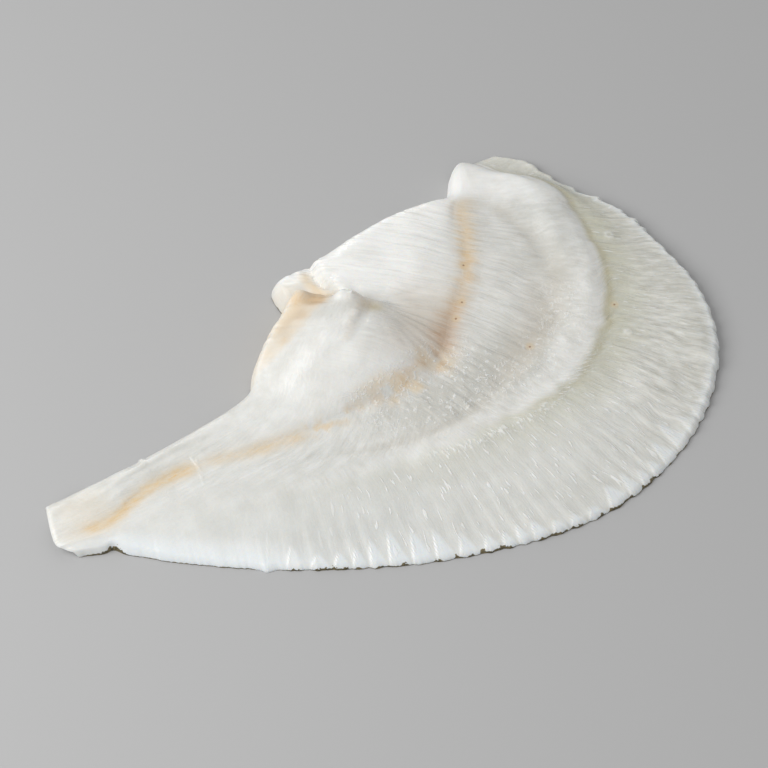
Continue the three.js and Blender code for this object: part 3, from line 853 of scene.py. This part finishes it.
def paint(flesh):
    """Masks that the material colours the flesh by."""
    teeth, border_highlights = tooth_share(flesh)
    patchy = ease(*PATCH_LEVELS, plan_noise(flesh, 4, 70, 79))
    seam, rust = seam_stain(flesh)
    brow = BROW * flesh.zone(60, 66, 0.06, 0.25, 2.5, 0.04)
    roll_mottle = roll_share(flesh) * flesh.zone(44, 97, 1.2, 2.1, 6, 0.12)
    return {
        "pale": pale_tone(flesh, teeth),
        "cool": cool_tone(flesh, teeth),
        "green": green_tone(flesh),
        "olive": olive_tone(flesh),
        "cream": cream_tone(flesh, patchy),
        "beige": beige_tone(flesh, patchy),
        "stain": np.maximum(seam, brow),
        "rust": np.where(seam > brow, rust, BROW_RUST),
        "white": white_membrane_and_highlights(flesh, border_highlights),
        "flecks": flesh.most_of(FLECK_ZONES),
        "fray": hem_fray(flesh),
        # Zones of the painted glints on the fringe.
        "sparks": flesh.zone(56, 99, 2.04, 2.9, 5, 0.1),
        "glints": flesh.zone(26, 66, 2.1, 2.9, 6, 0.06),
        "stripes": stripe_strength(flesh),
        "mottle": np.maximum(roll_mottle, flesh.zone(60, 99, 2.1, 3.2, 6, 0.12)),
        "dull": flesh.most_of(DULL_ZONES),
        "lengthwise": flesh.most_of(LENGTHWISE_ZONES),
        "hem": skin_hem(flesh),
    }


def closed_faces(rows, size):
    """Quads between rows of a closed ring, and a fan at each end to the two corners after the last row."""
    row, column = np.meshgrid(np.arange(rows - 1), np.arange(size), indexing="ij")
    across = (column + 1) % size
    below = row * size
    above = below + size
    quads = np.stack([below + column, below + across, above + across, above + column], axis=2).reshape(-1, 4)
    this = np.arange(size)
    after = (this + 1) % size
    last = (rows - 1) * size
    tail_fan = np.stack([np.full(size, rows * size), after, this], axis=1)
    head_fan = np.stack([np.full(size, rows * size + 1), last + this, last + after], axis=1)
    return quads.tolist() + tail_fan.tolist() + head_fan.tolist()


def fillet_mesh():
    """The fillet as one closed mesh: the flesh, the flat underside and a fan at each end."""
    flesh = Flesh()
    height = (flesh.smooth_height() + relief(flesh)) * end_share(flesh.ribs) * flesh.rise
    rows, columns = height.shape
    share = np.linspace(0, 1, UNDERSIDE_POINTS + 1)[1:-1]
    under_x = flesh.x[:, -1:] + (flesh.x[:, :1] - flesh.x[:, -1:]) * share
    under_y = flesh.y[:, -1:] + (flesh.y[:, :1] - flesh.y[:, -1:]) * share
    x = np.hstack([flesh.x, under_x]) - MIDDLE[0]
    y = np.hstack([flesh.y, under_y]) - MIDDLE[1]
    z = np.hstack([height, np.zeros(under_x.shape)])
    grid = np.stack([x, y, z], axis=2)
    ends = np.stack([grid[0].mean(axis=0), grid[-1].mean(axis=0)])
    corners = np.vstack([grid.reshape(-1, 3), ends]) * MM
    mesh = bpy.data.meshes.new("fillet_flesh")
    mesh.from_pydata(corners.tolist(), [], closed_faces(rows, x.shape[1]))
    mesh.polygons.foreach_set("use_smooth", np.ones(len(mesh.polygons), bool))
    mesh.set_sharp_from_angle(angle=SHARP_ANGLE)

    def spread(values):
        """Values of the flesh carried over to the underside and to the fans' middles."""
        whole = np.hstack([values, np.repeat(values[:, -1:], under_x.shape[1], axis=1)])
        middle = columns // 2
        return np.concatenate([whole.ravel(), [values[0, middle], values[-1, middle]]])

    for name, values in paint(flesh).items():
        mesh.attributes.new(name, "FLOAT", "POINT").data.foreach_set("value", spread(values))
    flow = np.stack([spread(grain_across(flesh)), spread(flesh.along), spread(0 * flesh.rib)], axis=1)
    mesh.attributes.new("flow", "FLOAT_VECTOR", "POINT").data.foreach_set("vector", flow.ravel())
    return mesh


def linear(red, green, blue):
    """A colour given in screen values from 0 to 255, as the renderer's own."""
    shares = (value / 255 for value in (red, green, blue))
    return (*(s / 12.92 if s <= 0.04045 else ((s + 0.055) / 1.055) ** 2.4 for s in shares), 1)


FLESH_GREY = linear(203, 202, 195)
FLESH_WHITE = linear(242, 242, 239)
FRINGE_GREEN = linear(198, 197, 176)
FRINGE_OLIVE = linear(192, 184, 150)
# Cool white of the teeth and the cool zones, also used for the painted sheen along the rim.
COOL_WHITE = linear(228, 233, 235)
CREAM = linear(234, 214, 181)
BEIGE = linear(206, 188, 164)
ORANGE = linear(219, 186, 128)
RUST = linear(184, 140, 104)
# White of the membrane, also used for the painted glints and highlights.
MEMBRANE_AND_HIGHLIGHT_WHITE = linear(246, 247, 246)
SPECK = linear(132, 84, 54)
SKIN_DARK = linear(66, 62, 46)
SKIN_LIGHT = linear(124, 113, 84)
FLOOR_GREY = linear(180, 180, 180)

# Levels between which a noise rises, broadly and more steeply.
BROAD = (0.3, 0.7)
STEEP = (0.35, 0.65)

# Grains along the fibres: lumps for each millimetre across the ribs and along them, where the fibres run
# along the ribs and where they run lengthwise, and how strongly they show as stripes of tone.
GRAINS = {
    "coarse": ((0.5, 0.06, 1), (0.06, 0.3, 1), 1.0),
    "fine": ((1.7, 0.19, 1), (0.24, 1.3, 1), 0.6),
    "middle": ((1.0, 0.12, 1), (0.12, 0.7, 1), 0.8),
}

# Lumps over the flesh: how many for each metre, and their detail.
LUMPS = {
    "blotches": (110, 3.0), "flecks": (620, 3.0), "threads": (330, 2.0), "threaded": (150, 2.0),
    "skin": (750, 4.0), "pores": (900, 2.0),
}

# Mottling and blotches of tone, and the strength of the tints.
MOTTLE_GRAIN = (0.4, 0.2, 1)
MOTTLE_DETAIL = 4.0
MOTTLE_TONE = (-0.17, 0.17)
BLOTCH_TONE = (-0.14, 0.14)
GREEN_BY_GRAIN = (0.6, 1.0)
OLIVE_BY_BLOTCH = (0.4, 1.0)
COOL_STRENGTH = 0.6
STAIN_BY_GRAIN = (0.6, 1.2)
STAIN_LEVELS = (0.35, 0.6)
STAIN_BY_BLOTCH = (0.7, 1.15)

# Membrane: levels of its flecks and threads. Streaks by mask as grain, detail and levels: painted glints
# (sparks, glints) and frayed membrane (fray).
FLECK_STEP = (0.56, 0.72)
THREAD_STEP = (0.03, 0.008)
THREADED_STEP = (0.48, 0.56)
STREAKS_OF_MEMBRANE_AND_GLINTS = {
    "sparks": ((1.3, 0.15, 1), 2.0, (0.62, 0.68)),
    "glints": ((0.8, 0.14, 1), 1.0, (0.645, 0.69)),
    "fray": ((0.8, 0.4, 1), 3.0, (0.48, 0.6)),
}
MEMBRANE_AND_HIGHLIGHT_STRENGTH = 0.6

# Small brown specks as (x, y) in plan, and the radius and strength of them and of their halos.
SPECKS = [(57.3, 32.6), (44.9, 21), (38.2, 17.5), (87.5, -18.6), (49.9, -10.3)]
SPECK_RADIUS = 0.55
SPECK_STRENGTH = 0.65
HALO_RADIUS = 2.2
HALO_STRENGTH = 0.3

# Raggedness and softness of the skin's upper border.
SKIN_RAGGED = (0.4, 1.2)
SKIN_SOFTNESS = 0.1

# Gloss and fine relief.
WET_ROUGHNESS = (0.2, 0.36)
DULL_ROUGHNESS = 0.55
MEMBRANE_AND_HIGHLIGHT_ROUGHNESS = 0.16
BUMP_STRIPES = (0.03, 0.25)
BUMP_BY_STRIPES = (0.2, 1.4)
PORE_BUMP = 0.4


def new_material(name):
    """A material with a bare principled shader."""
    material = bpy.data.materials.new(name)
    material.use_nodes = True
    return material, material.node_tree, material.node_tree.nodes["Principled BSDF"]


class Nodes:
    """Adds nodes to a material. Each method gives back the new node's output."""

    def __init__(self, tree):
        self.tree = tree

    def add(self, kind, inputs, output=0, **settings):
        """An input given as another node's output is linked, and any other is a value."""
        new = self.tree.nodes.new(kind)
        for name, value in settings.items():
            setattr(new, name, value)
        for name, value in inputs.items():
            if isinstance(value, bpy.types.NodeSocket):
                self.tree.links.new(value, new.inputs[name])
            else:
                new.inputs[name].default_value = value
        return new.outputs[output]

    def mask(self, name, output="Fac"):
        return self.add("ShaderNodeAttribute", {}, output, attribute_name=name)

    def mix_colour(self, share, first, second):
        return self.add("ShaderNodeMix", {0: share, 6: first, 7: second}, 2, data_type="RGBA")

    def mix_value(self, share, first, second):
        return self.add("ShaderNodeMix", {0: share, 2: first, 3: second}, data_type="FLOAT")

    def maths(self, operation, *values, clamp=False):
        return self.add("ShaderNodeMath", dict(enumerate(values)), operation=operation, use_clamp=clamp)

    def ranged(self, value, levels, to=(0.0, 1.0)):
        """A value between two levels spread over another range."""
        names = ("Value", "From Min", "From Max", "To Min", "To Max")
        return self.add("ShaderNodeMapRange", dict(zip(names, (value, *levels, *to))))

    def noise(self, vector, rates, detail=2.0):
        """Noise with as many lumps along each axis of the vector as its rates say."""
        scaled = self.add("ShaderNodeVectorMath", {0: vector, 1: rates}, operation="MULTIPLY")
        return self.add("ShaderNodeTexNoise", {"Vector": scaled, "Scale": 1.0, "Detail": detail})


class FleshNodes(Nodes):
    """The looks of the flesh, with the noises that several of them share."""

    def __init__(self, tree):
        super().__init__(tree)
        self.place = self.add("ShaderNodeTexCoord", {}, "Object")
        self.flow = self.mask("flow", "Vector")
        self.grains = {name: self.grain(*rates) for name, (*rates, _) in GRAINS.items()}
        self.blotches = self.lumps("blotches")
        self.stripes = self.mask("stripes")

    def grain(self, ribwise, lengthwise):
        ribwise = self.noise(self.flow, ribwise)
        return self.mix_value(self.mask("lengthwise"), ribwise, self.noise(self.flow, lengthwise))

    def lumps(self, name):
        rate, detail = LUMPS[name]
        return self.noise(self.place, (rate, rate, rate), detail)

    def masked(self, name, value):
        """A value where a mask of the flesh lets it show."""
        return self.maths("MULTIPLY", self.mask(name), value, clamp=True)

    def tone(self):
        """Share of white: stripes, mottling and blotches over the painted tone."""
        tone = self.mask("pale")
        for name, (_, _, weight) in GRAINS.items():
            stripe = self.ranged(self.grains[name], BROAD, (-weight, weight))
            tone = self.maths("ADD", tone, self.maths("MULTIPLY", stripe, self.stripes))
        mottle = self.ranged(self.noise(self.flow, MOTTLE_GRAIN, MOTTLE_DETAIL), BROAD, MOTTLE_TONE)
        tone = self.maths("ADD", tone, self.maths("MULTIPLY", self.mask("mottle"), mottle))
        return self.maths("ADD", tone, self.ranged(self.blotches, BROAD, BLOTCH_TONE), clamp=True)

    def stain(self):
        """Share and colour of the seam's stain."""
        by_grain = self.ranged(self.grains["fine"], BROAD, STAIN_BY_GRAIN)
        by_blotch = self.ranged(self.blotches, STAIN_LEVELS, STAIN_BY_BLOTCH)
        stain = self.masked("stain", self.maths("MULTIPLY", by_grain, by_blotch))
        return stain, self.mix_colour(self.mask("rust"), ORANGE, RUST)

    def membrane_and_highlights(self):
        """Where white membrane and painted highlights lie: flecks, threads, streaks of membrane, painted
        glints, and what is painted white.
        """
        off_middle = self.maths("ABSOLUTE", self.maths("SUBTRACT", self.lumps("threads"), 0.5))
        threaded = self.ranged(self.lumps("threaded"), THREADED_STEP)
        thread = self.maths("MULTIPLY", self.ranged(off_middle, THREAD_STEP), threaded)
        fleck = self.maths("MAXIMUM", self.ranged(self.lumps("flecks"), FLECK_STEP), thread)
        total = self.maths("MAXIMUM", self.mask("white"), self.masked("flecks", fleck))
        # Streaks of frayed membrane, and painted glints on the fringe.
        for mask, (rates, detail, levels) in STREAKS_OF_MEMBRANE_AND_GLINTS.items():
            streak = self.ranged(self.noise(self.flow, rates, detail), levels)
            total = self.maths("MAXIMUM", total, self.masked(mask, streak))
        return total

    def specks(self, radius, strength):
        """Where the small brown specks are, out to a radius."""
        flat = self.add("ShaderNodeVectorMath", {0: self.place, 1: (1, 1, 0)}, operation="MULTIPLY")
        total = 0.0
        for x, y in SPECKS:
            spot = ((x - MIDDLE[0]) * MM, (y - MIDDLE[1]) * MM, 0)
            away = self.add("ShaderNodeVectorMath", {0: flat, 1: spot}, "Value", operation="DISTANCE")
            inside = self.ranged(away, (radius * MM, radius * MM / 2))
            total = self.maths("ADD", total, inside, clamp=True)
        return self.maths("MULTIPLY", total, strength)

    def skin(self):
        """Share and colour of the skin, which lies below the height of its cut edge."""
        grain = self.lumps("skin")
        hem = self.maths("MULTIPLY", self.mask("hem"), self.ranged(grain, BROAD, SKIN_RAGGED))
        level = self.add("ShaderNodeSeparateXYZ", {0: self.place}, 2)
        over = self.maths("SUBTRACT", level, self.maths("MULTIPLY", hem, MM))
        below = self.ranged(over, (SKIN_SOFTNESS * MM, -SKIN_SOFTNESS * MM))
        return below, self.mix_colour(self.ranged(grain, STEEP), SKIN_DARK, SKIN_LIGHT)

    def roughness(self, membrane_and_highlights):
        wet = self.ranged(self.blotches, BROAD, WET_ROUGHNESS)
        wet = self.mix_value(self.mask("dull"), wet, DULL_ROUGHNESS)
        return self.mix_value(membrane_and_highlights, wet, MEMBRANE_AND_HIGHLIGHT_ROUGHNESS)

    def normal(self, membrane_and_highlights):
        fibres = self.maths("ADD", self.grains["fine"], self.grains["middle"])
        fibres = self.maths("MULTIPLY", fibres, self.ranged(self.stripes, BUMP_STRIPES, BUMP_BY_STRIPES))
        height = self.maths("ADD", fibres, self.maths("MULTIPLY", self.lumps("pores"), PORE_BUMP))
        height = self.maths("ADD", height, membrane_and_highlights)
        return self.add("ShaderNodeBump", {"Strength": 0.5, "Distance": 0.4 * MM, "Height": height})


def flesh_material():
    """Moist flesh: fibres, blotches and stains over white and grey, and skin underneath."""
    material, tree, shader = new_material("fillet_flesh")
    nodes = FleshNodes(tree)
    membrane_and_highlights = nodes.membrane_and_highlights()
    layers = (
        (nodes.masked("green", nodes.ranged(nodes.grains["coarse"], STEEP, GREEN_BY_GRAIN)), FRINGE_GREEN),
        (nodes.masked("olive", nodes.ranged(nodes.blotches, STEEP, OLIVE_BY_BLOTCH)), FRINGE_OLIVE),
        (nodes.masked("cool", COOL_STRENGTH), COOL_WHITE),
        (nodes.mask("cream"), CREAM),
        (nodes.mask("beige"), BEIGE),
        nodes.stain(),
        # White of the membrane and of the painted highlights.
        (nodes.maths("MULTIPLY", membrane_and_highlights, MEMBRANE_AND_HIGHLIGHT_STRENGTH), MEMBRANE_AND_HIGHLIGHT_WHITE),
        (nodes.specks(HALO_RADIUS, HALO_STRENGTH), ORANGE),
        (nodes.specks(SPECK_RADIUS, SPECK_STRENGTH), SPECK),
        nodes.skin(),
    )
    colour = nodes.mix_colour(nodes.tone(), FLESH_GREY, FLESH_WHITE)
    for share, tint in layers:
        colour = nodes.mix_colour(share, colour, tint)
    tree.links.new(colour, shader.inputs["Base Color"])
    tree.links.new(nodes.roughness(membrane_and_highlights), shader.inputs["Roughness"])
    tree.links.new(nodes.normal(membrane_and_highlights), shader.inputs["Normal"])
    shader.inputs["IOR"].default_value = 1.4
    shader.inputs["Subsurface Weight"].default_value = 0.4
    shader.inputs["Subsurface Radius"].default_value = (1.0, 0.85, 0.7)
    shader.inputs["Subsurface Scale"].default_value = 1.8 * MM
    return material


def add_fillet():
    piece = bpy.data.objects.new("fillet_flesh", fillet_mesh())
    bpy.context.scene.collection.objects.link(piece)
    piece.data.materials.append(flesh_material())
    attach(piece, "root")
    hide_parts("fillet")


FLOOR_HALF_SIZE = 3.0


def add_floor():
    """A plain pale floor."""
    half = FLOOR_HALF_SIZE
    mesh = bpy.data.meshes.new("floor")
    corners = [(-half, -half, 0), (half, -half, 0), (half, half, 0), (-half, half, 0)]
    mesh.from_pydata(corners, [], [(0, 1, 2, 3)])
    floor = bpy.data.objects.new("floor", mesh)
    bpy.context.scene.collection.objects.link(floor)
    material, _, shader = new_material("floor")
    shader.inputs["Base Color"].default_value = FLOOR_GREY
    shader.inputs["Roughness"].default_value = 0.85
    mesh.materials.append(material)


# Camera: it looks at the point of the floor in the middle of the picture.
VIEW_CENTRE = (2.8, 20)
VIEW_AZIMUTH = math.radians(-44)
VIEW_ELEVATION = math.radians(55)
VIEW_DISTANCE = 1.03
VIEW_ANGLE = math.radians(16)

# Ways of the picture.
TARGET = Vector(((VIEW_CENTRE[0] - MIDDLE[0]) * MM, (VIEW_CENTRE[1] - MIDDLE[1]) * MM, 0))
TOWARD = Vector((math.sin(VIEW_AZIMUTH), -math.cos(VIEW_AZIMUTH), 0))
LEFT = Vector((-math.cos(VIEW_AZIMUTH), -math.sin(VIEW_AZIMUTH), 0))
UP = Vector((0, 0, 1))

# Lights, each as its way in shares of left, towards the camera and up, its size and its power: a large soft
# panel to the picture's left, and a small panel behind the fillet that shows in reflections alone.
KEY = ((0.68, 0.2, 0.7), 0.7, 7.0)
GLOSS = ((0.25, -0.8, 0.35), 0.25, 1.8)
PANEL_DISTANCE = 1.0


def look_from(obj, away, distance):
    """Puts a camera or light at a distance from the target, and turns it there."""
    obj.location = TARGET + away.normalized() * distance
    obj.rotation_euler = (-away).to_track_quat("-Z", "Y").to_euler()
    bpy.context.scene.collection.objects.link(obj)


def add_camera():
    lens = bpy.data.cameras.new("camera")
    lens.angle = VIEW_ANGLE
    camera = bpy.data.objects.new("camera", lens)
    look_from(camera, TOWARD * math.cos(VIEW_ELEVATION) + UP * math.sin(VIEW_ELEVATION), VIEW_DISTANCE)
    bpy.context.scene.camera = camera


def add_panel(name, way, size, power):
    light = bpy.data.lights.new(name, "AREA")
    light.size = size
    light.energy = power
    panel = bpy.data.objects.new(name, light)
    look_from(panel, LEFT * way[0] + TOWARD * way[1] + UP * way[2], PANEL_DISTANCE)
    return panel


def add_lights():
    add_panel("key", *KEY)
    gloss = add_panel("gloss", *GLOSS)
    gloss.visible_diffuse = False
    world = bpy.data.worlds.new("sky")
    world.use_nodes = True
    sky = world.node_tree.nodes["Background"]
    sky.inputs["Color"].default_value = (1, 1, 1, 1)
    sky.inputs["Strength"].default_value = 0.54
    bpy.context.scene.world = world
    bpy.context.scene.view_settings.view_transform = "Standard"


add_fillet()
add_floor()
add_camera()
add_lights()
